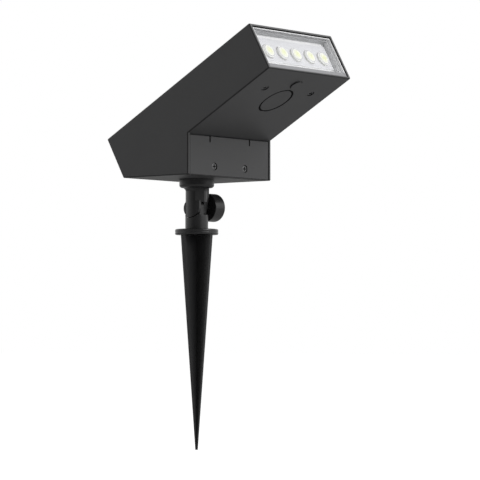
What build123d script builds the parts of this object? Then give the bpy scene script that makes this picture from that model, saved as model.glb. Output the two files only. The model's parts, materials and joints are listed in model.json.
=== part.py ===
from build123d import *
import math
import os

# Solar spotlight: a lamp bar with a solar top on a box-shaped base, carried by a swivel on a ground spike.
# Frame: origin on the spike's axis at the ground line, +Z up, the lens faces -Y, lengths in millimetres.

# Driving dimensions of the head
head_width = 100.0
bar_tilt = 29.0
bar_length = 163.2
bar_thickness = 39.6
rear_height = 35.2
base_depth = 66.0
base_front_to_axis = 34.0
base_level = 43.2
wall = 2.4
floor_thickness = 3.0
edge_radius = 1.0
fit_gap = 0.3

# Cuts run this far past a face, and pieces that are joined reach this far into each other
past = 1.0

# Window and light module, with their places along the bar measured back from the front face
window_roof = 1.9
window_sill = 1.4
window_depth = 13.4
window_gap = 0.55
tray_front = 0.8
tray_rim = 1.0
tray_sill = 3.3
tray_panel_front = 7.2
tray_panel_back = 9.0
field_front = 5.7
field_half = 42.2
field_heights = (-28.6, -7.6)
glass_front = 1.1
glass_back = 3.1
glass_edge_gap = 0.2
glass_chamfer = 0.3
glass_seal_back = 3.7
glass_seal_gap = 0.1
seal_step = 0.8
lens_back = 10.2
lens_apex = 3.4
lens_edge = 4.2
lens_rounding = 0.8
lens_radius = 5.9
lens_hole_radius = 6.1
lens_pocket_depth = 2.0
lens_pocket_radius = 5.2
led_board_back = 11.4
led_count = 5
led_pitch = 16.5
led_row_height = -19.9
module_half_height = 10.0
module_half_width = 44.0
package_size = 7.0
package_height = 1.8
phosphor_radius = 3.0
phosphor_height = 0.1
led_screw_x = 42.3
led_screw_rise = 7.8
led_screw_length = 5.2
led_pilot_skin = 0.6

# Heat sink behind the light module
heat_sink_back = 13.2
heat_sink_low = -30.5
heat_sink_high = -8.8
foot_thickness = 2.5
foot_back = 31.0
foot_inner = 18.0
foot_outer = 38.0

# Solar panel on top of the bar
panel_start = 15.5
panel_floor = 5.5
panel_ledge = 4.0
ledge_thickness = 2.5
panel_gap = 0.4
panel_seal_height = 0.8
backsheet_height = 1.4
cell_height = 0.25
panel_below_rim = 0.4
panel_glass_chamfer = 0.4
cell_columns = 2
cell_rows = 6
cell_margin = 3.0
cell_spacing = 1.0

# Button on the underside of the bar
button_place = 16.2
button_radius = 4.8
button_hole_radius = 5.1
button_proud = 0.9
button_rounding = 0.35
button_flange_radius = 5.6
button_flange_gap = 0.2
button_flange_thickness = 1.0
button_stem_radius = 2.5
button_stem_length = 3.0
groove_rise = 1.2
groove_half = 0.6
groove_radius = 4.1
ring_section = 0.42
ring_gap = 0.05
switch_half = 2.6
switch_height = 4.0
switch_bore_roof = 0.8
switch_bore_radius = 1.75
plunger_radius = 1.6
plunger_length = 2.6

# Blank for a sensor hole, and two screws, on the underside of the bar
blank_place = 38.5
blank_half_width = 11.65
blank_half_length = 13.5
blank_gap = 1.6
blank_recess = 0.1
blank_flange_growth = 2.75
blank_flange_thickness = 1.4
blank_seal_thickness = 0.8
blank_seal_edge = 0.2
blank_lip_gap = 0.05
blank_lip_recess = 0.4
underside_screw_x = 27.7
underside_screw_place = 25.0
underside_screw_length = 4.4

# Control board inside the bar, and what stands on it as (across, place, then its size)
board_front = 13.5
board_back = 78.0
board_half_width = 36.0
board_under = -28.6
board_thickness = 1.6
standoff_x = 30.0
standoff_places = (36.0, 72.0)
standoff_radius = 3.0
board_screw_length = 6.0
round_parts = ((-20.0, 50.0, 4.0, 12.0), (7.0, 57.0, 6.0, 6.0))
square_parts = ((-5.0, 42.0, 6.0, 5.0, 1.6), (14.0, 40.0, 5.0, 4.0, 1.5),
                (22.0, 58.0, 6.5, 6.0, 2.2), (-8.0, 64.0, 4.5, 2.6, 2.2))

# Wires and their sockets on the control board
wire_radius = 0.7
wire_bend = 3.0
wire_pair_pitch = 2.5
wire_hole_gap = 0.4
connector_width = 7.0
connector_height = 6.0
rear_connector = (72.0, 77.5)
front_connector = (28.0, 33.5)
battery_lead_x = 0.0
battery_lead_straight = 9.0
panel_lead_x = -22.0
panel_lead_place = 95.0
panel_lead_drop = -14.0
panel_lead_turn = 86.0
led_lead_x = 26.0
led_lead_height = -18.0
led_lead_bends = (19.0, 23.5)

# Cover on the front of the base
cover_recess = 0.3
cover_rounding = 0.6
cover_thickness = 2.4
cover_seal_thickness = 1.2
cover_seal_margin = 1.0
cover_seal_lip = 2.5
cover_flange_thickness = 2.5
cover_opening_half_width = 42.5
cover_opening_low = 9.3
cover_opening_high = 25.3
cover_screw_x = 18.2
cover_screw_rise = 7.7
cover_screw_length = 7.6
cover_boss_length = 4.1
cover_boss_wall = 2.0
cover_boss_end = 0.8
slit_x = 23.7
slit_width = 1.5
slit_length = 5.2

# Battery in the base
cell_radius = 9.2
cell_length = 65.0
cell_lift = 0.1
cell_rounding = 0.8
cell_places = (-11.9, 7.9)
tray_level = 54.0
tray_floor = 1.5
tray_front_y = -23.0
tray_back_y = 19.0
tray_half_length = 44.0
tray_wall = 1.4
tray_wall_root = 0.5
tray_end = 33.5
tray_side_height = 10.0
tray_end_height = 16.0
tray_rib_height = 7.0
tray_rib_half = 0.4
tray_screw_x = 40.5
tray_screw_places = (-13.0, 9.0)
tray_screw_length = 7.0
tray_post_wall = 2.1
tray_hole_floor = 0.5
contact_gap = 0.1
contact_thickness = 0.7
contact_half_length = 15.0
contact_low = 58.0
contact_high = 75.0

# Swivel: collar, stem and fork
pivot_level = 21.7
collar_radius = 13.6
collar_top = 42.9
collar_bottom = 36.6
collar_rounding = 2.2
stem_radius = 8.7
stem_fillet = 2.9
eye_radius = 7.0
eye_drop = 1.2
eye_face = 7.5
slot_half_width = 3.0
slot_root_radius = 5.6
slot_rise = 3.7
stem_flat = 7.9
stem_flat_turn = 32.0
lug_face = 8.4
lug_end_face = 5.4
lug_slant_top = 7.5
lug_half_width = 4.95
lug_taper = 0.05
lug_end = 6.0
lug_top = 15.4
lug_rounding = 1.5
boss_face = 9.3
boss_radius = 3.8

# Swivel screw with its bearing, washers and insert
swivel_screw_radius = 3.0
swivel_screw_end = 34.0
screw_head_across_flats = 10.0
screw_head_height = 4.0
bush_radius = 5.0
bush_hole_gap = 0.1
bush_bore_gap = 0.08
bush_flange_radius = 8.0
bush_flange_thickness = 1.0
spring_gap = 0.2
spring_thickness = 1.2
spring_radius = 7.0
friction_seat = 41.9
friction_radius = 11.0
friction_bore = 3.6
friction_gap = 0.1
friction_pocket_gap = 0.2
insert_low = 33.6
insert_across_flats = 9.0
insert_pocket_gap = 0.1
insert_top_gap = 0.2
thread_gap = 0.05

# Tilt clamp
stud_radius = 2.5
stud_hole_radius = 2.6
fork_hole_radius = 2.7
stud_end = -6.6
stud_in_knob = 7.0
stud_thread_gap = 0.08
nut_across_flats = 8.0
nut_pocket_gap = 0.2
nut_seat = -7.0
nut_outer_face = -6.9
nut_inner_face = -3.2
washer_inner_face = 9.4
washer_outer_face = 10.2
washer_radius = 4.6
knob_inner_face = 10.4
knob_outer_face = 21.7
knob_radius = 11.0
knob_outer_rounding = 0.8
knob_inner_rounding = 0.4
knob_dish_radius = 8.2
knob_dish_depth = 1.0
knob_bore_gap = 0.02

# Ground spike
flange_radius = 16.85
flange_height = 4.4
flange_rounding = 1.0
flange_groove = 0.5
flange_groove_offset = 0.35
post_radius = 8.95
post_rounding = 0.4
shoulder_drop = 6.1
scallop_radius = 8.8
tongue_half_width = 2.7
tongue_radius = 5.0
spike_length = 167.0
blade_radius = 15.1
blade_thickness = 3.0
blade_tip_radius = 0.8
blade_tip_thickness = 1.2

# Screws, their heads' recesses as shares of the head, and their holes
small_shank = 1.05
small_head = 2.2
small_head_height = 1.4
small_hole_gap = 0.3
case_shank = 1.45
case_head = 2.5
case_head_height = 1.0
case_thread_gap = 0.1
counterbore_radius = 3.0
counterbore_depth = 1.5
module_hole_gap = 0.2
recess_length_share = 1.4
recess_width_share = 0.36
recess_depth_share = 1.4
head_rounding_share = 0.2

# Corners of the head's side outline, as (y, z)
tilt = math.radians(bar_tilt)
rise = math.sin(tilt)
run = math.cos(tilt)
slope = rise / run
base_front = -base_front_to_axis
base_rear = base_depth - base_front_to_axis
rear_top = (base_rear + rear_height * rise, base_level + rear_height * run)
front_top = (rear_top[0] - bar_length * run, rear_top[1] + bar_length * rise)
front_bottom = (front_top[0] - bar_thickness * rise, front_top[1] - bar_thickness * run)
base_front_top = (base_front, front_bottom[1] - (base_front - front_bottom[0]) * slope)
head_outline = [rear_top, front_top, front_bottom, base_front_top,
                (base_front, base_level), (base_rear, base_level)]

# The bar's own frame: x across, y back from the front face, z up from the top face
bar = Location(Plane(origin=(0, front_top[0], front_top[1]), x_dir=(1, 0, 0), z_dir=(0, rise, run)))
half_width = head_width / 2
inner_half_width = half_width - wall
underside = -bar_thickness
underside_inner = underside + wall
floor_top = base_level + floor_thickness
cover_wall = cover_recess + cover_thickness + cover_seal_thickness + cover_flange_thickness

# Layers of the solar panel, as heights below the top face
panel_end = bar_length - wall
panel_span = (panel_start + panel_gap, panel_end - panel_gap)
ledge_span = (panel_start + panel_ledge, panel_end - panel_ledge)
panel_half = inner_half_width - panel_gap
ledge_half = inner_half_width - panel_ledge
panel_seal_top = -panel_floor + panel_seal_height
backsheet_top = panel_seal_top + backsheet_height
cells_top = backsheet_top + cell_height

# Limits of the reflector tray, of the glass seat in it and of the well behind the glass
tray_half = inner_half_width - window_gap
tray_top = -window_roof - window_gap
tray_bottom = underside + window_sill + fit_gap
rim_half = tray_half - tray_rim
rim_top = tray_top - tray_rim
rim_bottom = tray_bottom + tray_sill
well_half = rim_half - seal_step
well_top = rim_top - seal_step
well_bottom = rim_bottom + seal_step

# Heights and places inside the bar
module_heights = (led_row_height - module_half_height, led_row_height + module_half_height)
board_top = board_under + board_thickness
lead_height = board_top + connector_height / 2
button_stem_top = underside_inner + button_stem_length
groove_height = underside + groove_rise
blank_seal_top = underside_inner + blank_seal_thickness
led_places = [(index - (led_count - 1) / 2) * led_pitch for index in range(led_count)]
led_screw_points = [(x, led_row_height + rise_side * led_screw_rise)
                    for x in (-led_screw_x, led_screw_x) for rise_side in (-1, 1)]
standoffs = [(x, place) for x in (-standoff_x, standoff_x) for place in standoff_places]

# Heights and places inside the base
contact_middle = (cell_places[0] + cell_places[1]) / 2
contact_inner = cell_length / 2 + contact_gap
contact_outer = contact_inner + contact_thickness
tray_screw_points = [(x, y) for x in (-tray_screw_x, tray_screw_x) for y in tray_screw_places]
bush_flange_top = floor_top + bush_flange_thickness
spring_bottom = bush_flange_top + spring_gap
spring_top = spring_bottom + spring_thickness

from_bottom = (Align.CENTER, Align.CENTER, Align.MIN)


def block(low, high, frame=Location()):
    """Box between two corners in a frame."""
    size = [b - a for a, b in zip(low, high)]
    centre = [(a + b) / 2 for a, b in zip(low, high)]
    return frame * Pos(*centre) * Box(*size)


def bar_block(half, places, heights):
    """Box centred across the bar, between two places along it and two heights."""
    return block((-half, places[0], heights[0]), (half, places[1], heights[1]), bar)


def rod(start, end, radius, frame=Location()):
    """Round bar between two points in a frame."""
    direction = Vector(*end) - Vector(*start)
    seat = Location(Plane(origin=start, z_dir=direction))
    return frame * seat * Cylinder(radius, direction.length, align=from_bottom)


def bar_rod(x, place, heights, radius):
    """Round bar along the lamp bar's height."""
    return rod((x, place, heights[0]), (x, place, heights[1]), radius, bar)


def bar_pin(x, places, height, radius):
    """Round bar along the lamp bar's length."""
    return rod((x, places[0], height), (x, places[1], height), radius, bar)


def tilt_rod(low_x, high_x, radius):
    """Round bar on the tilt axis."""
    return rod((low_x, 0, pivot_level), (high_x, 0, pivot_level), radius)


def axis_rod(low, high, radius):
    """Upright round bar on the swivel's axis."""
    return rod((0, 0, low), (0, 0, high), radius)


def prism(outline, low_x, high_x):
    """Solid with the given (y, z) outline between two x positions."""
    face = Plane.YZ * make_face(Polyline(*outline, close=True))
    return Pos(low_x, 0, 0) * extrude(face, amount=high_x - low_x, dir=(1, 0, 0))


def hexagon(across_flats, height):
    """Upright six-sided bar standing on the origin."""
    return extrude(RegularPolygon(across_flats / 2, 6, major_radius=False), amount=height)


def tilt_hexagon(low_x, high_x, across_flats):
    """Six-sided bar on the tilt axis."""
    seat = Location(Plane(origin=(low_x, 0, pivot_level), x_dir=(0, 1, 0), z_dir=(1, 0, 0)))
    return seat * hexagon(across_flats, high_x - low_x)


def inset_outline(outline, insets):
    """Outline with each edge moved inwards by its own distance."""
    lines = []
    for start, end, inset in zip(outline, outline[1:] + outline[:1], insets):
        along = Vector(end[0] - start[0], end[1] - start[1]).normalized()
        inwards = Vector(-along.Y, along.X)
        lines.append((Vector(*start) + inwards * inset, along))
    corners = []
    for (point, along), (other, across) in zip(lines[-1:] + lines[:-1], lines):
        gap = other - point
        distance = (gap.X * across.Y - gap.Y * across.X) / (along.X * across.Y - along.Y * across.X)
        corner = point + along * distance
        corners.append((corner.X, corner.Y))
    return corners


def cross_screw(place, facing, head_radius, head_height, shank_radius, shank_length, frame=Location()):
    """Cylinder-head screw with a cross recess. The place is under its head, facing points out of it."""
    head = Cylinder(head_radius, head_height, align=from_bottom)
    head = fillet(head.edges().sort_by(Axis.Z)[-1], head_rounding_share * head_height)
    shank = Pos(0, 0, -shank_length) * Cylinder(shank_radius, shank_length, align=from_bottom)
    long = recess_length_share * head_radius
    wide = recess_width_share * head_radius
    deep = recess_depth_share * head_height
    recess = Box(long, wide, deep) + Box(wide, long, deep)
    screw = head + shank - Pos(0, 0, head_height) * recess
    return frame * Location(Plane(origin=place, z_dir=facing)) * screw


def small_screw(place, facing, length, frame=Location()):
    """Small screw of the inner pieces."""
    return cross_screw(place, facing, small_head, small_head_height, small_shank, length, frame)


def case_screw(place, facing, length, frame=Location()):
    """Larger screw of the outer pieces."""
    return cross_screw(place, facing, case_head, case_head_height, case_shank, length, frame)


def bar_point(x, place, height):
    """Point of the bar's frame in the object's frame."""
    return (bar * Pos(x, place, height)).position


def pair_places(x):
    """Positions of the two wires of a pair."""
    return (x - wire_pair_pitch / 2, x + wire_pair_pitch / 2)


def wire(points):
    """Insulated wire along straight runs and tangent bends."""
    path = FilletPolyline(*points, radius=wire_bend)
    section = Plane(origin=path @ 0, z_dir=path % 0) * Circle(wire_radius)
    return sweep(section, path=path)


def oval(growth, low, high):
    """Oval plug about the sensor hole's centre, along the bar's height, larger than the blank by a growth."""
    shape = Ellipse(blank_half_width + growth, blank_half_length + growth)
    return bar * Pos(0, blank_place, low) * extrude(shape, amount=high - low)


def lamp_housing():
    shell = prism(head_outline, -half_width, half_width)
    inner_corner = Vector(0, *base_front_top)
    outer_edges = [edge for edge in shell.edges() if (edge.center() - inner_corner).length > edge_radius]
    shell = fillet(outer_edges, edge_radius)
    cavity_top = panel_floor + ledge_thickness
    cavity_insets = [cavity_top, window_depth - fit_gap, wall, cover_wall, floor_thickness, wall]
    shell -= prism(inset_outline(head_outline, cavity_insets), -inner_half_width, inner_half_width)
    shell -= bar_block(inner_half_width, (-past, window_depth), (underside + window_sill, -window_roof))
    shell -= bar_block(inner_half_width, (panel_start, panel_end), (-panel_floor, past))
    shell -= bar_block(ledge_half, ledge_span, (-cavity_top - past, -panel_floor + past))
    shell -= cover_pocket()
    opening_low = (-cover_opening_half_width, base_front, base_level + cover_opening_low)
    opening_high = (cover_opening_half_width, base_front + cover_wall + past, base_level + cover_opening_high)
    shell -= block(opening_low, opening_high)
    shell += cover_bosses() + board_standoffs() + tray_posts()
    through_wall = (underside - past, underside_inner + past)
    shell -= bar_rod(0, button_place, through_wall, button_hole_radius)
    shell -= oval(blank_gap, *through_wall)
    for side in (-1, 1):
        x, seat, z = cover_screw_seat(side)
        hole_end = base_front + cover_wall + cover_boss_length - cover_boss_end
        shell -= rod((x, seat, z), (x, hole_end, z), case_shank + case_thread_gap)
        x = side * underside_screw_x
        seat = underside + counterbore_depth
        shell -= bar_rod(x, underside_screw_place, (underside - past, seat), counterbore_radius)
        shell -= bar_rod(x, underside_screw_place, through_wall, case_shank + fit_gap)
    return shell - axis_rod(base_level - past, floor_top + past, bush_radius + bush_hole_gap)


def cover_pocket():
    """Room for the cover and its seal, open to the front and below, under the bar's underside."""
    back = base_front + cover_recess + cover_thickness + cover_seal_thickness
    back_top = base_front_top[1] - (back - base_front) * slope
    front = base_front - past
    outline = [(front, base_level - past), (back, base_level - past), (back, back_top), base_front_top,
               (front, base_front_top[1])]
    return prism(outline, -inner_half_width, inner_half_width)


def cover_screw_seat(side):
    """Place under a cover screw's head."""
    seat_y = base_front + cover_recess + counterbore_depth
    return (side * cover_screw_x, seat_y, base_level + cover_screw_rise)


def cover_bosses():
    """Screw bosses behind the cover's flange."""
    bosses = Part()
    flange_back = base_front + cover_wall
    z = base_level + cover_screw_rise
    for x in (-cover_screw_x, cover_screw_x):
        bosses += rod((x, flange_back - past, z), (x, flange_back + cover_boss_length, z),
                      case_shank + cover_boss_wall)
    return bosses


def board_standoffs():
    """Posts on the bar's underside wall that carry the control board."""
    posts = Part()
    hole_heights = (board_under - board_screw_length - past, board_under + past)
    for x, place in standoffs:
        post = bar_rod(x, place, (underside_inner - past, board_under), standoff_radius)
        posts += post - bar_rod(x, place, hole_heights, small_shank + thread_gap)
    return posts


def tray_posts():
    """Posts on the floor of the base that carry the battery tray."""
    posts = Part()
    for x, y in tray_screw_points:
        post = rod((x, y, floor_top - past), (x, y, tray_level), small_shank + tray_post_wall)
        hole_low = (x, y, floor_top + tray_hole_floor)
        posts += post - rod(hole_low, (x, y, tray_level + past), small_shank + thread_gap)
    return posts


def battery_cover():
    front = base_front + cover_recess
    back = front + cover_thickness
    front_edge = base_front_top[1] - (front - base_front) * slope - fit_gap
    back_edge = base_front_top[1] - (back - base_front) * slope - fit_gap
    low = base_level + fit_gap
    outline = [(front, low), (back, low), (back, back_edge), (front, front_edge)]
    cover_half = inner_half_width - fit_gap
    plate = prism(outline, -cover_half, cover_half)
    plate = fillet(plate.faces().sort_by(Axis.Y)[0].edges(), cover_rounding)
    slit_bottom = front_edge - slit_length
    for side in (-1, 1):
        x, seat, z = cover_screw_seat(side)
        plate -= rod((x, front - past, z), (x, seat, z), counterbore_radius)
        plate -= rod((x, seat - past, z), (x, back + past, z), case_shank + fit_gap)
        slit_low = (side * slit_x - slit_width / 2, front - past, slit_bottom)
        plate -= block(slit_low, (slit_low[0] + slit_width, back + past, front_edge + past))
    return plate


def cover_seal():
    front = base_front + cover_recess + cover_thickness
    back = front + cover_seal_thickness
    high = base_front_top[1] - (back - base_front) * slope - cover_seal_margin
    seal_half = inner_half_width - cover_seal_margin
    ring = block((-seal_half, front, floor_top), (seal_half, back, high))
    hole_low = (-cover_opening_half_width, front - past, base_level + cover_opening_low + cover_seal_lip)
    ring -= block(hole_low, (cover_opening_half_width, back + past, base_level + cover_opening_high))
    z = base_level + cover_screw_rise
    for x in (-cover_screw_x, cover_screw_x):
        ring -= rod((x, front - past, z), (x, back + past, z), case_shank + fit_gap)
    return ring


def cover_screws():
    return Compound([case_screw(cover_screw_seat(side), (0, -1, 0), cover_screw_length) for side in (-1, 1)])


def underside_screws():
    seat = underside + counterbore_depth
    screws = []
    for x in (-underside_screw_x, underside_screw_x):
        screws.append(case_screw((x, underside_screw_place, seat), (0, 0, -1), underside_screw_length, bar))
    return Compound(screws)


def panel_seal():
    heights = (-panel_floor, panel_seal_top)
    hole_heights = (heights[0] - past, heights[1] + past)
    return bar_block(panel_half, panel_span, heights) - bar_block(ledge_half, ledge_span, hole_heights)


def solar_backsheet():
    return bar_block(panel_half, panel_span, (panel_seal_top, backsheet_top))


def solar_cells():
    """Wafers in two columns of half-cut strips."""
    wide = (2 * panel_half - 2 * cell_margin - (cell_columns - 1) * cell_spacing) / cell_columns
    length = panel_span[1] - panel_span[0] - 2 * cell_margin
    long = (length - (cell_rows - 1) * cell_spacing) / cell_rows
    wafers = []
    for column in range(cell_columns):
        x = -panel_half + cell_margin + column * (wide + cell_spacing)
        for row in range(cell_rows):
            place = panel_span[0] + cell_margin + row * (long + cell_spacing)
            wafers.append(block((x, place, backsheet_top), (x + wide, place + long, cells_top), bar))
    return Compound(wafers)


def solar_glass():
    glass = bar_block(panel_half, panel_span, (cells_top, -panel_below_rim))
    top = glass.faces().sort_by(Axis.Z)[-1]
    return chamfer(top.edges(), panel_glass_chamfer)


def reflector_tray():
    """Pale tray with a rim round the glass, and a panel with a raised field and a hole for each lens."""
    tray = bar_block(tray_half, (tray_front, tray_panel_back), (tray_bottom, tray_top))
    tray -= bar_block(rim_half, (tray_front - past, glass_seal_back), (rim_bottom, rim_top))
    tray -= bar_block(well_half, (glass_back, tray_panel_front), (well_bottom, well_top))
    tray += bar_block(field_half, (field_front, tray_panel_back), field_heights)
    through_panel = (field_front - past, tray_panel_back + past)
    for x in led_places:
        tray -= bar_pin(x, through_panel, led_row_height, lens_hole_radius)
    pilot = (tray_panel_front + led_pilot_skin, tray_panel_back + past)
    for x, height in led_screw_points:
        tray -= bar_pin(x, pilot, height, small_shank + thread_gap)
    return tray


def front_glass():
    heights = (rim_bottom + glass_edge_gap, rim_top - glass_edge_gap)
    glass = bar_block(rim_half - glass_edge_gap, (glass_front, glass_back), heights)
    return chamfer(glass.faces().sort_by(Axis.Y)[0].edges(), glass_chamfer)


def glass_seal():
    heights = (rim_bottom + glass_seal_gap, rim_top - glass_seal_gap)
    ring = bar_block(rim_half - glass_seal_gap, (glass_back, glass_seal_back), heights)
    return ring - bar_block(well_half, (glass_back - past, glass_seal_back + past), (well_bottom, well_top))


def module_screw_holes(start, end):
    """Clearance holes for the four screws that hold the light module together."""
    holes = Part()
    for x, height in led_screw_points:
        holes += bar_pin(x, (start - past, end + past), height, small_shank + module_hole_gap)
    return holes


def lens_array():
    """Clear plate with a round lens, slightly domed and with a soft edge, over each light-emitting chip."""
    plate = bar_block(module_half_width, (tray_panel_back, lens_back), module_heights)
    cap_height = lens_edge - lens_apex
    ball_radius = (lens_radius ** 2 + cap_height ** 2) / (2 * cap_height)
    for x in led_places:
        ball = bar * Pos(x, lens_apex + ball_radius, led_row_height) * Sphere(ball_radius)
        lens = ball & bar_pin(x, (lens_apex - past, lens_back), led_row_height, lens_radius)
        front_edge = lens.edges().filter_by(GeomType.CIRCLE).sort_by(Axis.Y)[0]
        plate += fillet(front_edge, lens_rounding)
    pocket = (lens_back - lens_pocket_depth, lens_back + past)
    for x in led_places:
        plate -= bar_pin(x, pocket, led_row_height, lens_pocket_radius)
    return plate - module_screw_holes(tray_panel_back, lens_back)


def led_board():
    plate = bar_block(module_half_width, (lens_back, led_board_back), module_heights)
    return plate - module_screw_holes(lens_back, led_board_back)


def led_packages():
    half = package_size / 2
    packages = []
    for x in led_places:
        low = (x - half, lens_back - package_height, led_row_height - half)
        packages.append(block(low, (x + half, lens_back, led_row_height + half), bar))
    return Compound(packages)


def led_phosphors():
    face = lens_back - package_height
    drops = [bar_pin(x, (face - phosphor_height, face), led_row_height, phosphor_radius) for x in led_places]
    return Compound(drops)


def heat_sink():
    """Plate behind the light board with two feet on the bar's underside wall."""
    plate = bar_block(module_half_width, (led_board_back, heat_sink_back), (heat_sink_low, heat_sink_high))
    foot_top = underside_inner + foot_thickness
    for side in (-1, 1):
        near_x, far_x = sorted((side * foot_inner, side * foot_outer))
        start = (near_x, led_board_back, underside_inner)
        plate += block(start, (far_x, heat_sink_back, heat_sink_low + past), bar)
        plate += block(start, (far_x, foot_back, foot_top), bar)
        plate -= bar_rod(side * underside_screw_x, underside_screw_place, (underside, foot_top + past),
                         case_shank + case_thread_gap)
    plate -= module_screw_holes(led_board_back, heat_sink_back)
    for x in pair_places(led_lead_x):
        plate -= bar_pin(x, (led_board_back - past, heat_sink_back + past), led_lead_height,
                         wire_radius + wire_hole_gap)
    return plate


def led_screws():
    screws = []
    for x, height in led_screw_points:
        screws.append(small_screw((x, heat_sink_back, height), (0, 1, 0), led_screw_length, bar))
    return Compound(screws)


def control_board():
    board = bar_block(board_half_width, (board_front, board_back), (board_under, board_top))
    for x, place in standoffs:
        board -= bar_rod(x, place, (board_under - past, board_top + past), small_shank + small_hole_gap)
    return board


def board_screws():
    screws = []
    for x, place in standoffs:
        screws.append(small_screw((x, place, board_top), (0, 0, 1), board_screw_length, bar))
    return Compound(screws)


def board_parts():
    """Capacitor, coil and chips on top of the control board."""
    parts = []
    for x, place, radius, tall in round_parts:
        parts.append(bar_rod(x, place, (board_top, board_top + tall), radius))
    for x, place, wide, long, tall in square_parts:
        low = (x - wide / 2, place - long / 2, board_top)
        parts.append(block(low, (x + wide / 2, place + long / 2, board_top + tall), bar))
    return Compound(parts)


def lead_connectors():
    sockets = []
    places = ((battery_lead_x, rear_connector), (panel_lead_x, rear_connector), (led_lead_x, front_connector))
    for x, span in places:
        low = (x - connector_width / 2, span[0], board_top)
        sockets.append(block(low, (x + connector_width / 2, span[1], board_top + connector_height), bar))
    return Compound(sockets)


def panel_leads():
    wires = []
    for x in pair_places(panel_lead_x):
        route = [(x, panel_lead_place, panel_seal_top), (x, panel_lead_place, panel_lead_drop),
                 (x, panel_lead_turn, lead_height), (x, rear_connector[1], lead_height)]
        wires.append(wire([bar_point(*point) for point in route]))
    return Compound(wires)


def led_leads():
    wires = []
    for x in pair_places(led_lead_x):
        route = [(x, led_board_back, led_lead_height), (x, led_lead_bends[0], led_lead_height),
                 (x, led_lead_bends[1], lead_height), (x, front_connector[0], lead_height)]
        wires.append(wire([bar_point(*point) for point in route]))
    return Compound(wires)


def battery_leads():
    wires = []
    contact_x = (contact_inner + contact_outer) / 2
    for side, x in zip((-1, 1), pair_places(battery_lead_x)):
        start = bar_point(x, rear_connector[1], lead_height)
        leave = bar_point(x, rear_connector[1] + battery_lead_straight, lead_height)
        arrive = Vector(side * contact_x, cell_places[0], contact_high + battery_lead_straight)
        wires.append(wire([start, leave, arrive, Vector(side * contact_x, cell_places[0], contact_high)]))
    return Compound(wires)


def switch_body():
    bottom = board_under - switch_height
    low = (-switch_half, button_place - switch_half, bottom)
    body = block(low, (switch_half, button_place + switch_half, board_under), bar)
    bore_heights = (bottom - past, board_under - switch_bore_roof)
    return body - bar_rod(0, button_place, bore_heights, switch_bore_radius)


def switch_plunger():
    return bar_rod(0, button_place, (button_stem_top, button_stem_top + plunger_length), plunger_radius)


def power_button():
    """Raised round cap with a sealing groove, a flange inside the wall and a stem to the switch."""
    flange_low = underside_inner + button_flange_gap
    cap = bar_rod(0, button_place, (underside - button_proud, flange_low), button_radius)
    cap = fillet(cap.edges().sort_by(Axis((0, 0, 0), (0, rise, run)))[0], button_rounding)
    flange_heights = (flange_low, flange_low + button_flange_thickness)
    flange = bar_rod(0, button_place, flange_heights, button_flange_radius)
    stem = bar_rod(0, button_place, (flange_low, button_stem_top), button_stem_radius)
    groove_heights = (groove_height - groove_half, groove_height + groove_half)
    groove = bar_rod(0, button_place, groove_heights, button_radius + past)
    groove -= bar_rod(0, button_place, (groove_heights[0] - past, groove_heights[1] + past), groove_radius)
    return cap + flange + stem - groove


def button_ring():
    ring_radius = groove_radius + ring_section + ring_gap
    return bar * Pos(0, button_place, groove_height) * Torus(ring_radius, ring_section)


def sensor_blank():
    """Flush plug for a sensor hole that this version leaves unused."""
    face = oval(0, underside + blank_recess, blank_seal_top)
    return face + oval(blank_flange_growth, blank_seal_top, blank_seal_top + blank_flange_thickness)


def blank_seal():
    """Flat ring under the blank's flange, with a lip that fills the gap round the blank."""
    ring = oval(blank_flange_growth - blank_seal_edge, underside_inner, blank_seal_top)
    ring += oval(blank_gap - blank_lip_gap, underside + blank_lip_recess, blank_seal_top)
    return ring - oval(blank_lip_gap, underside - past, blank_seal_top + past)


def battery_cells():
    cells = []
    axis_level = tray_level + tray_floor + cell_lift + cell_radius
    for y in cell_places:
        cell = rod((-cell_length / 2, y, axis_level), (cell_length / 2, y, axis_level), cell_radius)
        cells.append(fillet(cell.edges().filter_by(GeomType.CIRCLE), cell_rounding))
    return Compound(cells)


def battery_tray():
    floor = tray_level + tray_floor
    tray = block((-tray_half_length, tray_front_y, tray_level), (tray_half_length, tray_back_y, floor))
    root = floor - tray_wall_root
    for front_y in (tray_front_y, tray_back_y - tray_wall):
        side_high = (tray_end, front_y + tray_wall, tray_level + tray_side_height)
        tray += block((-tray_end, front_y, root), side_high)
    tray += block((-cell_length / 2, contact_middle - tray_rib_half, root),
                  (cell_length / 2, contact_middle + tray_rib_half, tray_level + tray_rib_height))
    for side in (-1, 1):
        low_x, high_x = sorted((side * tray_end, side * (tray_end + tray_wall)))
        tray += block((low_x, tray_front_y, root), (high_x, tray_back_y, tray_level + tray_end_height))
    for x, y in tray_screw_points:
        tray -= rod((x, y, tray_level - past), (x, y, floor + past), small_shank + small_hole_gap)
    return tray


def battery_contacts():
    plates = []
    for side in (-1, 1):
        low_x, high_x = sorted((side * contact_inner, side * contact_outer))
        plates.append(block((low_x, contact_middle - contact_half_length, contact_low),
                            (high_x, contact_middle + contact_half_length, contact_high)))
    return Compound(plates)


def tray_screws():
    seat = tray_level + tray_floor
    return Compound([small_screw((x, y, seat), (0, 0, 1), tray_screw_length) for x, y in tray_screw_points])


def swivel_bush():
    """Flanged plain bearing in the floor of the base."""
    bush = axis_rod(base_level, floor_top, bush_radius)
    bush += axis_rod(floor_top, bush_flange_top, bush_flange_radius)
    return bush - axis_rod(base_level - past, bush_flange_top + past, swivel_screw_radius + bush_bore_gap)


def swivel_screw():
    shank = axis_rod(swivel_screw_end, spring_top, swivel_screw_radius)
    return shank + Pos(0, 0, spring_top) * hexagon(screw_head_across_flats, screw_head_height)


def spring_washer():
    washer = axis_rod(spring_bottom, spring_top, spring_radius)
    return washer - axis_rod(spring_bottom - past, spring_top + past, swivel_screw_radius + thread_gap)


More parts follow.
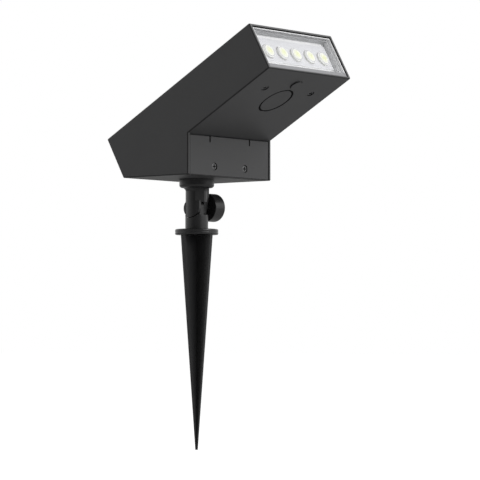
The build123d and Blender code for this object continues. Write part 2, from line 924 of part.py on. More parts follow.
def friction_washer():
    top = base_level - friction_gap
    washer = axis_rod(friction_seat, top, friction_radius)
    return washer - axis_rod(friction_seat - past, top + past, friction_bore)


def swivel_insert():
    top = friction_seat - insert_top_gap
    body = Pos(0, 0, insert_low) * hexagon(insert_across_flats, top - insert_low)
    return body - axis_rod(insert_low - past, top + past, swivel_screw_radius + thread_gap)


def swivel_fork():
    """Collar and stem with a slot for the tongue, between a round-ended prong and a slanted lug."""
    slot_top = pivot_level + slot_rise
    eye_level = pivot_level - eye_drop
    eye_bottom = eye_level - eye_radius
    clear = collar_radius
    body = axis_rod(collar_bottom, collar_top, collar_radius)
    body += axis_rod(slot_top, collar_bottom, stem_radius)
    junction = body.edges().filter_by(GeomType.CIRCLE).group_by(Axis.Z)[1].sort_by(SortBy.RADIUS)
    body = fillet(junction[0], stem_fillet)
    rim = body.edges().filter_by(GeomType.CIRCLE).group_by(SortBy.RADIUS)[-1].sort_by(Axis.Z)
    body = fillet(rim[0], collar_rounding)
    body -= block((slot_half_width, -clear, slot_top - past), (clear, clear, collar_bottom))
    flat = block((-clear, -clear, slot_top), (clear, -stem_flat, collar_bottom))
    body -= Rot(0, 0, -stem_flat_turn) * flat
    eye = rod((-clear, 0, eye_level), (-slot_half_width, 0, eye_level), eye_radius)
    prong = eye + block((-clear, -eye_radius, eye_level), (-slot_half_width, eye_radius, slot_top + past))
    body += prong & axis_rod(eye_bottom, slot_top + past, stem_radius)
    body += eye & block((-eye_face, 0, eye_bottom), (-slot_half_width, eye_radius, eye_level + eye_radius))
    body += far_lug()
    body += tilt_rod(slot_half_width, boss_face, boss_radius)
    body -= tilt_rod(-slot_half_width, slot_half_width, slot_root_radius)
    body -= tilt_rod(nut_seat, boss_face + past, fork_hole_radius)
    body -= tilt_hexagon(nut_seat, -slot_half_width + past, nut_across_flats + nut_pocket_gap)
    insert_pocket = hexagon(insert_across_flats + insert_pocket_gap, friction_seat - insert_low)
    body -= Pos(0, 0, insert_low) * insert_pocket
    return body - axis_rod(friction_seat, collar_top + past, friction_radius + friction_pocket_gap)


def far_lug():
    """Tapered lug on the knob's side, wider and thicker towards the collar."""
    low = pivot_level - lug_end
    high = pivot_level + lug_top
    top_half = lug_half_width + lug_taper * lug_top
    end_half = lug_half_width - lug_taper * lug_end
    outline = [(-end_half, low), (end_half, low), (top_half, high), (-top_half, high)]
    lug = prism(outline, slot_half_width, lug_face)
    profile = Polyline((slot_half_width, low), (lug_end_face, low), (lug_face, pivot_level + lug_slant_top),
                       (lug_face, high), (slot_half_width, high), close=True)
    lug &= extrude(Plane.XZ * make_face(profile), amount=top_half, both=True)
    end_edges = [edge for edge in lug.edges().filter_by(Axis.X) if edge.center().Z < pivot_level]
    return fillet(end_edges, lug_rounding)


def clamp_nut():
    nut = tilt_hexagon(nut_outer_face, nut_inner_face, nut_across_flats)
    return nut - tilt_rod(nut_outer_face - past, nut_inner_face + past, stud_radius + stud_thread_gap)


def knob_washer():
    washer = tilt_rod(washer_inner_face, washer_outer_face, washer_radius)
    return washer - tilt_rod(washer_inner_face - past, washer_outer_face + past, stud_hole_radius)


def clamp_stud():
    return tilt_rod(stud_end, knob_inner_face + stud_in_knob, stud_radius)


def clamp_knob():
    """Smooth round knob with rounded edges and a shallow dish in its outer face."""
    knob = tilt_rod(knob_inner_face, knob_outer_face, knob_radius)
    knob = fillet(knob.edges().filter_by(GeomType.CIRCLE).sort_by(Axis.X)[-1], knob_outer_rounding)
    knob = fillet(knob.edges().filter_by(GeomType.CIRCLE).sort_by(Axis.X)[0], knob_inner_rounding)
    dish_ball_radius = (knob_dish_radius ** 2 + knob_dish_depth ** 2) / (2 * knob_dish_depth)
    dish_centre = knob_outer_face - knob_dish_depth + dish_ball_radius
    knob -= Pos(dish_centre, 0, pivot_level) * Sphere(dish_ball_radius)
    bore_end = knob_inner_face + stud_in_knob
    return knob - tilt_rod(knob_inner_face - past, bore_end, stud_radius + knob_bore_gap)


def blade(across_x):
    """Flat tapered blade of the spike, along X or along Y."""
    top_size = (2 * blade_radius, blade_thickness)
    tip_size = (2 * blade_tip_radius, blade_tip_thickness)
    if not across_x:
        top_size = top_size[::-1]
        tip_size = tip_size[::-1]
    top = Plane.XY * Rectangle(*top_size)
    tip = Plane.XY.offset(-spike_length) * Rectangle(*tip_size)
    return loft([top, tip])


def ground_spike():
    """Crossed blades under a round flange, with the post and the tongue of the tilt joint above it."""
    flange = axis_rod(0, flange_height, flange_radius)
    flange = fillet(flange.edges().filter_by(GeomType.CIRCLE), flange_rounding)
    middle = flange_height / 2
    body = flange - Pos(0, 0, middle) * Torus(flange_radius + flange_groove_offset, flange_groove)
    shoulder = pivot_level - shoulder_drop
    post = axis_rod(middle, shoulder, post_radius)
    post = fillet(post.edges().filter_by(GeomType.CIRCLE).sort_by(Axis.Z)[-1], post_rounding)
    post -= tilt_rod(-flange_radius, -tongue_half_width, scallop_radius)
    post -= tilt_rod(tongue_half_width, flange_radius, scallop_radius)
    body += post
    body += block((-tongue_half_width, -tongue_radius, shoulder - past),
                  (tongue_half_width, tongue_radius, pivot_level))
    body += tilt_rod(-tongue_half_width, tongue_half_width, tongue_radius)
    body -= tilt_rod(-tongue_half_width - past, tongue_half_width + past, stud_hole_radius)
    return body + blade(True) + blade(False)


pieces = {
    "housing": lamp_housing,
    "battery_cover": battery_cover,
    "cover_seal": cover_seal,
    "cover_screws": cover_screws,
    "underside_screws": underside_screws,
    "panel_seal": panel_seal,
    "solar_backsheet": solar_backsheet,
    "solar_cells": solar_cells,
    "solar_glass": solar_glass,
    "reflector_tray": reflector_tray,
    "front_glass": front_glass,
    "glass_seal": glass_seal,
    "lens_array": lens_array,
    "led_board": led_board,
    "led_packages": led_packages,
    "led_phosphors": led_phosphors,
    "heat_sink": heat_sink,
    "led_screws": led_screws,
    "control_board": control_board,
    "board_screws": board_screws,
    "board_parts": board_parts,
    "lead_connectors": lead_connectors,
    "panel_leads": panel_leads,
    "led_leads": led_leads,
    "battery_leads": battery_leads,
    "switch_body": switch_body,
    "switch_plunger": switch_plunger,
    "power_button": power_button,
    "button_ring": button_ring,
    "sensor_blank": sensor_blank,
    "blank_seal": blank_seal,
    "battery_cells": battery_cells,
    "battery_tray": battery_tray,
    "battery_contacts": battery_contacts,
    "tray_screws": tray_screws,
    "swivel_bush": swivel_bush,
    "swivel_screw": swivel_screw,
    "spring_washer": spring_washer,
    "friction_washer": friction_washer,
    "swivel_insert": swivel_insert,
    "swivel_fork": swivel_fork,
    "clamp_nut": clamp_nut,
    "knob_washer": knob_washer,
    "clamp_stud": clamp_stud,
    "clamp_knob": clamp_knob,
    "ground_spike": ground_spike,
}

os.makedirs("parts", exist_ok=True)
for name, make in pieces.items():
    export_step(make(), f"parts/{name}.step")
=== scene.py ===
import json
import math

import bpy
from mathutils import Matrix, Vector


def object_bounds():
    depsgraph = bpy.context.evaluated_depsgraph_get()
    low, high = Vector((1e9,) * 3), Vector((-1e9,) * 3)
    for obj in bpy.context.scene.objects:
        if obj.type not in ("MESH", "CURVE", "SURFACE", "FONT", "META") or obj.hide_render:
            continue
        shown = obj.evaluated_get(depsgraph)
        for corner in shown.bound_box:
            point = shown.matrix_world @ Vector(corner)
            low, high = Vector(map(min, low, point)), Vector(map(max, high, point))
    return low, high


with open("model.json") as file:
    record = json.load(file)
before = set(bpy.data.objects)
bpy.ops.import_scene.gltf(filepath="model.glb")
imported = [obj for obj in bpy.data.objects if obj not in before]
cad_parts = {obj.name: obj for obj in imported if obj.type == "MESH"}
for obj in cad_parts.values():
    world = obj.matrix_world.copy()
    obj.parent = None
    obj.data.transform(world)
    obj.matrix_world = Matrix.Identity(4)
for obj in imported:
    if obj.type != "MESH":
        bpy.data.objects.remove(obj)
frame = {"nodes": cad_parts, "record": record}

cad_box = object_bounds()
nodes = frame["nodes"]

# The lamp bar leans by this angle
bar_tilt = math.radians(29)
rise = math.sin(bar_tilt)
run = math.cos(bar_tilt)


def bar_corners(name):
    """Low and high corner of a piece, measured sideways, in depth and in height on the leaning lamp bar."""
    points = []
    for vertex in nodes[name].data.vertices:
        x, y, z = vertex.co
        points.append((x, run * y - rise * z, rise * y + run * z))
    low = [min(values) for values in zip(*points)]
    high = [max(values) for values in zip(*points)]
    return low, high


# Reflector tray: just behind the front of its rim, the bead inside the rim's painted shadow where the tray
# meets the housing, and the sill's top
tray_low, tray_high = bar_corners("reflector_tray")
painted_joint_shadow_width = 0.00045
rim_depth = tray_low[1] + 0.00015
bead_half = tray_high[0] - painted_joint_shadow_width
bead_top = tray_high[2] - painted_joint_shadow_width
sill_top = tray_low[2] + 0.0033

# Just in front of the tray's panel, just inside the side walls of its well, and the raised field on the panel
# without the field's lower wall
panel_depth = tray_low[1] + 0.0062
well_half = tray_high[0] - 0.00195
field_half = tray_high[0] - 0.0048
field_top = tray_high[2] - 0.0051
field_bottom = tray_high[2] - 0.0261

# Row of lenses in front of the phosphors: pitch and height, the radii over which the yellow middle fades, and
# those of a thin ring of painted shade near the edge
lens_count = 5
phosphor_low, phosphor_high = bar_corners("led_phosphors")
phosphor_diameter = phosphor_high[2] - phosphor_low[2]
lens_pitch = (phosphor_high[0] - phosphor_low[0] - phosphor_diameter) / (lens_count - 1)
lens_height = (phosphor_low[2] + phosphor_high[2]) / 2
lens_fade = (0.001, 0.0045)
lens_painted_shade_line = (0.0047, 0.0053)

# Solar cells on both sides of a narrow gap, with thin fingers across and broader busbars along each
cell_gap_half = 0.0005
cell_width = bar_corners("solar_cells")[1][0] - cell_gap_half
finger_pitch = 0.0016
finger_width = 0.00012
busbar_count = 3
busbar_pitch = cell_width / busbar_count
busbar_width = 0.0009

# Thickness of the grey top layer on the faces of the outer screws; deeper down they are painted black as
# shade
screw_painted_shade_depth = 0.0003

# How closely drawn lines follow each other on metal along X, Y and Z, per metre
turned_lines = (3000, 3000, 900)
sheet_lines = (150, 6000, 6000)

# Camera fitted to the photograph's straight edges
camera_place = (-1.4099, -1.2093, -0.0744)
camera_turn = (math.radians(92.17), 0.0, math.radians(-50.42))
camera_lens = 179.0
camera_sensor = 36.0

# Soft light from all round, darker towards the side of the photograph's viewpoint
world_level = 0.9
dark_side = (-0.78, -0.61, -0.11)
dark_level = 0.12
dark_start = 0.1
dark_end = 0.85

# One large lamp, above and in front of the head
lamp_place = (0.4, -1.5, 0.95)
lamp_aim = (0, 0, 0.08)
lamp_size = 1.0
lamp_power = 20.0

# Floor just under the spike's tip, its glow where it is seen, and its share of brightness in reflections
floor_level = cad_box[0][2] - 0.001
floor_half = 6.0
floor_colour = (0.56, 0.56, 0.56)
floor_glow = 0.6
floor_reflected = 0.7


# Steps of shader trees
def new_material(name):
    """Material with a Principled shader wired to its output."""
    material = bpy.data.materials.new(name)
    material.use_nodes = True
    tree = material.node_tree
    tree.nodes.clear()
    shader = tree.nodes.new("ShaderNodeBsdfPrincipled")
    output = tree.nodes.new("ShaderNodeOutputMaterial")
    tree.links.new(shader.outputs["BSDF"], output.inputs["Surface"])
    return material, tree, shader


def coordinates(tree, stretch=(1, 1, 1), turn=(0, 0, 0)):
    """Coordinates that stay with the piece, stretched and turned."""
    place = tree.nodes.new("ShaderNodeTexCoord")
    mapping = tree.nodes.new("ShaderNodeMapping")
    mapping.inputs["Scale"].default_value = stretch
    mapping.inputs["Rotation"].default_value = turn
    tree.links.new(place.outputs["Object"], mapping.inputs["Vector"])
    return mapping.outputs["Vector"]


def bar_coordinates(tree):
    """Coordinates measured sideways, in depth and in height on the leaning lamp bar."""
    return coordinates(tree, turn=(bar_tilt, 0, 0))


def split_axes(tree, vector):
    """Outputs X, Y and Z of a vector."""
    node = tree.nodes.new("ShaderNodeSeparateXYZ")
    tree.links.new(vector, node.inputs["Vector"])
    return node.outputs


def noise(tree, vector, scale, detail=3.0):
    """Cloudy pattern between 0 and 1."""
    texture = tree.nodes.new("ShaderNodeTexNoise")
    texture.inputs["Scale"].default_value = scale
    texture.inputs["Detail"].default_value = detail
    tree.links.new(vector, texture.inputs["Vector"])
    return texture.outputs["Fac"]


def math_node(tree, operation, first, second=None):
    """Result of an operation on one or two inputs, each a socket or a number."""
    node = tree.nodes.new("ShaderNodeMath")
    node.operation = operation
    for socket, value in zip(node.inputs, (first, second)):
        if value is None:
            continue
        if isinstance(value, (int, float)):
            socket.default_value = value
        else:
            tree.links.new(value, socket)
    return node.outputs["Value"]


def between(tree, value, low, high):
    """1 where a value lies between two limits, 0 elsewhere."""
    above = math_node(tree, "GREATER_THAN", value, low)
    below = math_node(tree, "LESS_THAN", value, high)
    return math_node(tree, "MULTIPLY", above, below)


def within(tree, place, half, bottom, top):
    """1 inside a rectangle of the lamp bar's front, 0 outside it."""
    sideways = between(tree, place["X"], -half, half)
    upright = between(tree, place["Z"], bottom, top)
    return math_node(tree, "MULTIPLY", sideways, upright)


def repeated_line(tree, value, pitch, width):
    """1 on thin lines that repeat along a value, 0 between them."""
    share = math_node(tree, "FRACT", math_node(tree, "DIVIDE", value, pitch))
    off_middle = math_node(tree, "ABSOLUTE", math_node(tree, "SUBTRACT", share, 0.5))
    return math_node(tree, "LESS_THAN", off_middle, width / pitch / 2)


def dot_product(tree, vector, direction):
    """How far a vector lies along a fixed direction."""
    node = tree.nodes.new("ShaderNodeVectorMath")
    node.operation = "DOT_PRODUCT"
    node.inputs[1].default_value = direction
    tree.links.new(vector, node.inputs[0])
    return node.outputs["Value"]


def spread(tree, factor, low, high, start=0.0, end=1.0):
    """Factor from start to end, spread over low to high."""
    node = tree.nodes.new("ShaderNodeMapRange")
    node.inputs["From Min"].default_value = start
    node.inputs["From Max"].default_value = end
    node.inputs["To Min"].default_value = low
    node.inputs["To Max"].default_value = high
    tree.links.new(factor, node.inputs["Value"])
    return node.outputs["Result"]


def blend_colours(tree, factor, first, second):
    """Colour between two others, each a socket or a colour."""
    node = tree.nodes.new("ShaderNodeMix")
    node.data_type = "RGBA"
    tree.links.new(factor, node.inputs["Factor"])
    for name, value in (("A", first), ("B", second)):
        socket = [entry for entry in node.inputs if entry.name == name and entry.type == "RGBA"][0]
        if isinstance(value, tuple):
            socket.default_value = (*value, 1.0)
        else:
            tree.links.new(value, socket)
    return [entry for entry in node.outputs if entry.type == "RGBA"][0]


def scaled(colour, factor):
    """Colour made lighter or darker."""
    return tuple(factor * value for value in colour)


def bump(tree, shader, height, strength, distance):
    """Relief on the shader's normal."""
    node = tree.nodes.new("ShaderNodeBump")
    node.inputs["Strength"].default_value = strength
    node.inputs["Distance"].default_value = distance
    tree.links.new(height, node.inputs["Height"])
    tree.links.new(node.outputs["Normal"], shader.inputs["Normal"])


def flat_share(tree, directions):
    """1 on faces that look along one of the directions, 0 on the rounded edges between them."""
    geometry = tree.nodes.new("ShaderNodeNewGeometry")
    turned = tree.nodes.new("ShaderNodeVectorTransform")
    turned.vector_type = "NORMAL"
    turned.convert_from = "WORLD"
    turned.convert_to = "OBJECT"
    tree.links.new(geometry.outputs["True Normal"], turned.inputs["Vector"])
    matches = [dot_product(tree, turned.outputs["Vector"], direction) for direction in directions]
    best = matches[0]
    for match in matches[1:]:
        best = math_node(tree, "MAXIMUM", best, match)
    return spread(tree, best, low=0.0, high=1.0, start=0.985, end=0.998)


def seen_share(tree, rays):
    """1 for rays that see a surface directly or through glass, 0 for others."""
    return math_node(tree, "MAXIMUM", rays.outputs["Is Camera Ray"], rays.outputs["Is Transmission Ray"])


# Finishes
def moulded(name, colour, rough, grain=3500.0, depth=0.00002, change=0.08, specular=0.3):
    """Moulded plastic or rubber: fine grain in its relief and gloss, with faint clouds in its colour."""
    gloss_change = 0.06
    material, tree, shader = new_material(name)
    vector = coordinates(tree)
    clouds = noise(tree, vector, scale=45.0)
    speck = noise(tree, vector, scale=grain, detail=2.0)
    tint = blend_colours(tree, clouds, scaled(colour, 1 - change), scaled(colour, 1 + change))
    tree.links.new(tint, shader.inputs["Base Color"])
    gloss = spread(tree, speck, rough - gloss_change, rough + gloss_change)
    tree.links.new(gloss, shader.inputs["Roughness"])
    shader.inputs["Specular IOR Level"].default_value = specular
    bump(tree, shader, speck, strength=0.35, distance=depth)
    return material, tree, shader, tint


def plain(name, colour, **settings):
    """Moulded finish with no more than its grain and clouds."""
    return moulded(name, colour, **settings)[0]


def brushed(name, colour, rough, lines_per_metre):
    """Bare metal with drawn lines in its relief and gloss, and faint clouds in its colour."""
    gloss_change = 0.1
    darkest = scaled(colour, 0.9)
    palest = scaled(colour, 1.08)
    material, tree, shader = new_material(name)
    lines = noise(tree, coordinates(tree, stretch=lines_per_metre), scale=1.0, detail=4.0)
    clouds = noise(tree, coordinates(tree), scale=120.0)
    tint = blend_colours(tree, clouds, darkest, palest)
    tree.links.new(tint, shader.inputs["Base Color"])
    gloss = spread(tree, lines, rough - gloss_change, rough + gloss_change)
    tree.links.new(gloss, shader.inputs["Roughness"])
    shader.inputs["Metallic"].default_value = 1.0
    bump(tree, shader, lines, strength=0.3, distance=0.00001)
    return material, tree, shader, tint


def bare_metal(name, colour, rough, lines_per_metre=turned_lines):
    """Metal with no more than its drawn lines and clouds."""
    return brushed(name, colour, rough, lines_per_metre)[0]


def clear_sheet(name, colour, alpha, rough):
    """Thin clear cover that lets light straight through, with faint unevenness."""
    darkest = scaled(colour, 0.97)
    roughest = rough + 0.04
    material, tree, shader = new_material(name)
    clouds = noise(tree, coordinates(tree), scale=60.0)
    tree.links.new(blend_colours(tree, clouds, darkest, colour), shader.inputs["Base Color"])
    tree.links.new(spread(tree, clouds, rough, roughest), shader.inputs["Roughness"])
    shader.inputs["Alpha"].default_value = alpha
    shader.inputs["IOR"].default_value = 1.5
    return material


def shell_finish_and_painted_light():
    """Satin dark grey, with painted shade on the rounded edges and a painted highlight on the front rim round
    the window.
    """
    grey = (0.042, 0.042, 0.043)
    # Painted shade on the rounded edges: a darker copy of the grey
    edge = scaled(grey, 0.3)
    # Painted highlight on the front rim round the window: a paler grey
    rim = (0.1, 0.1, 0.102)
    window_side = (0, -run, rise)
    straight_sides = [(1, 0, 0), (-1, 0, 0), (0, 1, 0), (0, -1, 0), (0, 0, 1), (0, 0, -1)]
    leaning_sides = [window_side, (0, rise, run), (0, -rise, -run), (0, run, -rise)]
    material, tree, shader, tint = moulded("shell_finish_and_painted_light", grey, rough=0.45, specular=0.35)
    # Painted shade on the rounded edges between the flat faces
    edges_with_painted_shade = blend_colours(tree, flat_share(tree, straight_sides + leaning_sides), edge, tint)
    # Painted highlight on the faces that look out of the window
    front_with_painted_highlight = blend_colours(tree, flat_share(tree, [window_side]), edges_with_painted_shade, rim)
    tree.links.new(front_with_painted_highlight, shader.inputs["Base Color"])
    return material


def tray_finish_and_painted_shade():
    """White reflector: bead inside a painted shadow, painted shade on the upper wall and on the panel's
    sides, a grey sill, and a panel with a raised field.
    """
    white = (0.88, 0.88, 0.885)
    field = (0.66, 0.66, 0.685)
    border_painted_shade = (0.5, 0.5, 0.51)
    upper_wall_painted_shade = (0.39, 0.39, 0.4)
    side_wall = (0.84, 0.84, 0.85)
    sill = (0.26, 0.26, 0.27)
    painted_joint_shadow = (0.03, 0.03, 0.03)
    material, tree, shader, tint = moulded("tray_finish_and_painted_shade", white, rough=0.4, depth=0.000004, change=0.02)
    place = split_axes(tree, bar_coordinates(tree))
    aside = math_node(tree, "ABSOLUTE", place["X"])
    # Panel beside the field: painted shade cast by the side walls
    panel = blend_colours(tree, math_node(tree, "GREATER_THAN", aside, field_half), tint, border_painted_shade)
    # Upper wall above the field: painted shade, grey against the nearly white side walls
    walls = blend_colours(tree, math_node(tree, "LESS_THAN", place["Z"], field_bottom), upper_wall_painted_shade, tint)
    walls = blend_colours(tree, math_node(tree, "GREATER_THAN", aside, well_half), walls, side_wall)
    inner = blend_colours(tree, math_node(tree, "GREATER_THAN", place["Y"], panel_depth), walls, panel)
    inner = blend_colours(tree, within(tree, place, field_half, field_bottom, field_top), inner, field)
    # Dark band round the bead: painted shadow of the joint between tray and housing
    bead = blend_colours(tree, within(tree, place, bead_half, sill_top, bead_top), painted_joint_shadow, tint)
    front = blend_colours(tree, math_node(tree, "LESS_THAN", place["Z"], sill_top), bead, sill)
    rim = math_node(tree, "LESS_THAN", place["Y"], rim_depth)
    tree.links.new(blend_colours(tree, rim, inner, front), shader.inputs["Base Color"])
    return material


def lens_finish_and_painted_shade():
    """Milky lenses: yellow-green in the middle, cream further out, with a thin grey ring of painted shade
    near the edge.
    """
    middle = (0.79, 0.81, 0.52)
    cream = (0.84, 0.84, 0.81)
    # Grey of the ring of painted shade near each lens's edge
    line = (0.5, 0.5, 0.52)
    material, tree, shader = new_material("lens_finish_and_painted_shade")
    place = split_axes(tree, bar_coordinates(tree))
    turns = math_node(tree, "ADD", math_node(tree, "DIVIDE", place["X"], lens_pitch), 0.5)
    across = math_node(tree, "SUBTRACT", math_node(tree, "FRACT", turns), 0.5)
    across = math_node(tree, "MULTIPLY", across, lens_pitch)
    upwards = math_node(tree, "SUBTRACT", place["Z"], lens_height)
    squares = [math_node(tree, "MULTIPLY", value, value) for value in (across, upwards)]
    radius = math_node(tree, "SQRT", math_node(tree, "ADD", *squares))
    glow = blend_colours(tree, spread(tree, radius, 0.0, 1.0, *lens_fade), middle, cream)
    # Painted shade: thin grey ring near the lens's edge
    with_painted_shade_line = blend_colours(tree, between(tree, radius, *lens_painted_shade_line), glow, line)
    tree.links.new(with_painted_shade_line, shader.inputs["Base Color"])
    clouds = noise(tree, coordinates(tree), scale=400.0)
    tree.links.new(spread(tree, clouds, low=0.12, high=0.2), shader.inputs["Roughness"])
    shader.inputs["Subsurface Weight"].default_value = 1.0
    shader.inputs["Subsurface Radius"].default_value = (1, 1, 1)
    shader.inputs["Subsurface Scale"].default_value = 0.003
    shader.inputs["IOR"].default_value = 1.49
    return material


def cell_finish():
    """Dark blue silicon with thin silver fingers across and broader busbars along the panel."""
    dark_blue = (0.006, 0.009, 0.028)
    blue = (0.012, 0.02, 0.055)
    silver = (0.55, 0.56, 0.58)
    material, tree, shader = new_material("cell_finish")
    vector = bar_coordinates(tree)
    place = split_axes(tree, vector)
    fingers = repeated_line(tree, place["Y"], finger_pitch, finger_width)
    from_gap = math_node(tree, "SUBTRACT", math_node(tree, "ABSOLUTE", place["X"]), cell_gap_half)
    busbars = repeated_line(tree, from_gap, busbar_pitch, busbar_width)
    lines = math_node(tree, "MAXIMUM", fingers, busbars)
    grains = noise(tree, vector, scale=220.0, detail=1.0)
    wafer = blend_colours(tree, grains, dark_blue, blue)
    tree.links.new(blend_colours(tree, lines, wafer, silver), shader.inputs["Base Color"])
    tree.links.new(spread(tree, lines, low=0.25, high=0.4), shader.inputs["Roughness"])
    tree.links.new(lines, shader.inputs["Metallic"])
    return material


def board_finish():
    """Green circuit board with lighter copper tracks under the lacquer."""
    green = (0.012, 0.09, 0.035)
    track_green = (0.03, 0.17, 0.06)
    track_width = 0.06
    material, tree, shader = new_material("board_finish")
    cells = tree.nodes.new("ShaderNodeTexVoronoi")
    cells.feature = "DISTANCE_TO_EDGE"
    cells.inputs["Scale"].default_value = 160.0
    tree.links.new(bar_coordinates(tree), cells.inputs["Vector"])
    tracks = math_node(tree, "LESS_THAN", cells.outputs["Distance"], track_width)
    tree.links.new(blend_colours(tree, tracks, green, track_green), shader.inputs["Base Color"])
    tree.links.new(spread(tree, tracks, low=0.4, high=0.3), shader.inputs["Roughness"])
    bump(tree, shader, tracks, strength=0.4, distance=0.00003)
    return material


def wire_finish(name, node):
    """Insulation of a pair of wires, red on one side of their middle and black on the other."""
    red = (0.4, 0.02, 0.02)
    black = (0.015, 0.015, 0.015)
    low, high = bar_corners(node)
    middle = (low[0] + high[0]) / 2
    material, tree, shader = new_material(name)
    vector = coordinates(tree)
    side = math_node(tree, "GREATER_THAN", split_axes(tree, vector)["X"], middle)
    tree.links.new(blend_colours(tree, side, red, black), shader.inputs["Base Color"])
    speck = noise(tree, vector, scale=1500.0)
    tree.links.new(spread(tree, speck, low=0.35, high=0.5), shader.inputs["Roughness"])
    bump(tree, shader, speck, strength=0.2, distance=0.00002)
    return material


def screw_finish_and_painted_shade(name, node, inward):
    """Black steel screws with greyer faces, painted black as shade in their recesses and round their heads.
    """
    grey = (0.13, 0.13, 0.133)
    black = (0.01, 0.01, 0.01)
    material, tree, shader, tint = brushed(name, grey, rough=0.4, lines_per_metre=turned_lines)
    depths = [sum(a * b for a, b in zip(vertex.co, inward)) for vertex in nodes[node].data.vertices]
    place = dot_product(tree, coordinates(tree), inward)
    # Painted shade: everything deeper than the face layer is black
    below = math_node(tree, "GREATER_THAN", place, min(depths) + screw_painted_shade_depth)
    tree.links.new(blend_colours(tree, below, tint, black), shader.inputs["Base Color"])
    return material


slot_finishes = {
    "shell": shell_finish_and_painted_light(),
    "black_plastic": plain("black_plastic_finish", (0.014, 0.014, 0.0145), rough=0.3, specular=0.5),
    "seal_rubber": plain("rubber_finish", (0.007, 0.007, 0.007), rough=0.8, grain=1800.0, specular=0.04),
    "clear_cover": clear_sheet("cover_glass_finish", (0.7, 0.73, 0.73), alpha=0.05, rough=0.03),
    "clear_lens": lens_finish_and_painted_shade(),
    "panel_glass": clear_sheet("panel_glass_finish", (0.4, 0.45, 0.5), alpha=0.16, rough=0.04),
    "white_tray": tray_finish_and_painted_shade(),
    "solar_cell": cell_finish(),
    "backsheet": plain("backsheet_finish", (0.02, 0.02, 0.024), rough=0.5),
    "light_board": plain("light_board_finish", (0.75, 0.75, 0.74), rough=0.4, change=0.02),
    "package": plain("package_finish", (0.8, 0.79, 0.75), rough=0.4, change=0.02),
    "phosphor": plain("phosphor_finish", (0.85, 0.83, 0.25), rough=0.5, grain=6000.0, change=0.05),
    "bare_aluminium": bare_metal("aluminium_finish", (0.62, 0.63, 0.64), 0.35, sheet_lines),
    "steel": bare_metal("steel_finish", (0.42, 0.42, 0.43), rough=0.32),
    "black_steel": bare_metal("black_steel_finish", (0.09, 0.09, 0.093), rough=0.4),
    "brass": bare_metal("brass_finish", (0.55, 0.42, 0.17), rough=0.3),
    "board_green": board_finish(),
    "component": plain("component_finish", (0.02, 0.02, 0.022), rough=0.45),
    "connector": plain("connector_finish", (0.7, 0.67, 0.58), rough=0.45, change=0.03),
    "battery_sleeve": plain("sleeve_finish", (0.06, 0.2, 0.42), rough=0.3, change=0.05, specular=0.5),
    "nylon": plain("nylon_finish", (0.68, 0.66, 0.58), rough=0.5, change=0.03),
}
node_finishes = {
    "panel_leads": wire_finish("panel_wire_finish", "panel_leads"),
    "led_leads": wire_finish("led_wire_finish", "led_leads"),
    "battery_leads": wire_finish("battery_wire_finish", "battery_leads"),
    "cover_screws": screw_finish_and_painted_shade("cover_screw_finish_and_painted_shade", "cover_screws", (0, 1, 0)),
    "underside_screws": screw_finish_and_painted_shade("underside_screw_finish_and_painted_shade", "underside_screws", (0, rise, run)),
}

for entry in frame["record"]["subparts"]:
    name = entry["node"]
    mesh = nodes[name].data
    mesh.materials.clear()
    mesh.materials.append(node_finishes.get(name, slot_finishes.get(entry["material_slot"])))


# Floor, light and camera
def floor_finish():
    """Pale floor that glows to white where it is seen, keeps the object's shade and is clear from below."""
    darkest = scaled(floor_colour, 0.96)
    reflected = scaled(floor_colour, floor_reflected)
    material, tree, shader = new_material("floor_finish")
    clouds = noise(tree, coordinates(tree), scale=3.0)
    rays = tree.nodes.new("ShaderNodeLightPath")
    tint = blend_colours(tree, clouds, darkest, floor_colour)
    tint = blend_colours(tree, rays.outputs["Is Glossy Ray"], tint, reflected)
    tree.links.new(tint, shader.inputs["Base Color"])
    shader.inputs["Roughness"].default_value = 0.9
    shader.inputs["Specular IOR Level"].default_value = 0.0
    shader.inputs["Emission Color"].default_value = (1, 1, 1, 1)
    glow = spread(tree, seen_share(tree, rays), 0.0, floor_glow)
    tree.links.new(glow, shader.inputs["Emission Strength"])
    geometry = tree.nodes.new("ShaderNodeNewGeometry")
    clear = tree.nodes.new("ShaderNodeBsdfTransparent")
    sides = tree.nodes.new("ShaderNodeMixShader")
    tree.links.new(geometry.outputs["Backfacing"], sides.inputs["Fac"])
    tree.links.new(shader.outputs["BSDF"], sides.inputs[1])
    tree.links.new(clear.outputs["BSDF"], sides.inputs[2])
    tree.links.new(sides.outputs["Shader"], tree.nodes["Material Output"].inputs["Surface"])
    return material


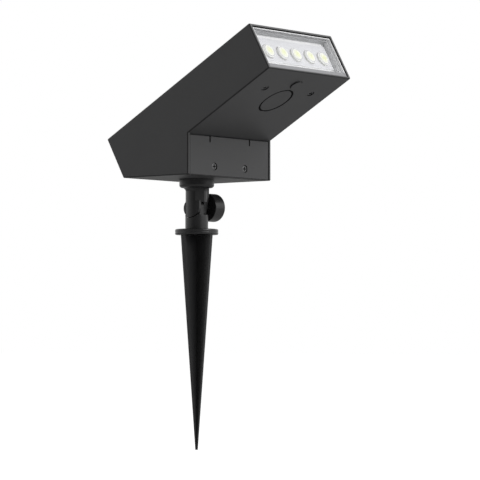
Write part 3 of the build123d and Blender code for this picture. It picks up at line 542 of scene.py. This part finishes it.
def add_floor():
    """Wide square floor under the spike's tip."""
    signs = [(-1, -1), (1, -1), (1, 1), (-1, 1)]
    corners = [(x * floor_half, y * floor_half, floor_level) for x, y in signs]
    mesh = bpy.data.meshes.new("floor")
    mesh.from_pydata(corners, [], [(0, 1, 2, 3)])
    mesh.materials.append(floor_finish())
    floor = bpy.data.objects.new("floor", mesh)
    bpy.context.scene.collection.objects.link(floor)


def add_world():
    """Pale surroundings, darker on one side. They are white where they are seen directly or through glass."""
    world = bpy.data.worlds.new("surroundings")
    bpy.context.scene.world = world
    world.use_nodes = True
    tree = world.node_tree
    tree.nodes.clear()
    rays = tree.nodes.new("ShaderNodeLightPath")
    place = tree.nodes.new("ShaderNodeTexCoord")
    side = dot_product(tree, place.outputs["Generated"], dark_side)
    level = spread(tree, side, 1.0, dark_level, dark_start, dark_end)
    light = math_node(tree, "MULTIPLY", level, spread(tree, rays.outputs["Is Glossy Ray"], world_level, 1.0))
    background = tree.nodes.new("ShaderNodeBackground")
    background.inputs["Color"].default_value = (1, 1, 1, 1)
    strength = math_node(tree, "MAXIMUM", seen_share(tree, rays), light)
    tree.links.new(strength, background.inputs["Strength"])
    output = tree.nodes.new("ShaderNodeOutputWorld")
    tree.links.new(background.outputs["Background"], output.inputs["Surface"])


def add_lamp():
    """Square soft lamp that looks at the head."""
    lamp = bpy.data.lights.new("front_light", "AREA")
    lamp.size = lamp_size
    lamp.energy = lamp_power
    holder = bpy.data.objects.new("front_light", lamp)
    holder.location = lamp_place
    x, y, z = [aim - place for aim, place in zip(lamp_aim, lamp_place)]
    holder.rotation_euler = (math.atan2(math.hypot(x, y), -z), 0.0, math.atan2(-x, y))
    bpy.context.scene.collection.objects.link(holder)


def add_camera():
    """Camera at the photograph's viewpoint."""
    camera = bpy.data.cameras.new("camera")
    camera.lens = camera_lens
    camera.sensor_width = camera_sensor
    holder = bpy.data.objects.new("camera", camera)
    holder.location = camera_place
    holder.rotation_euler = camera_turn
    bpy.context.scene.collection.objects.link(holder)
    bpy.context.scene.camera = holder


add_floor()
add_world()
add_lamp()
add_camera()
bpy.context.scene.view_settings.view_transform = "Standard"
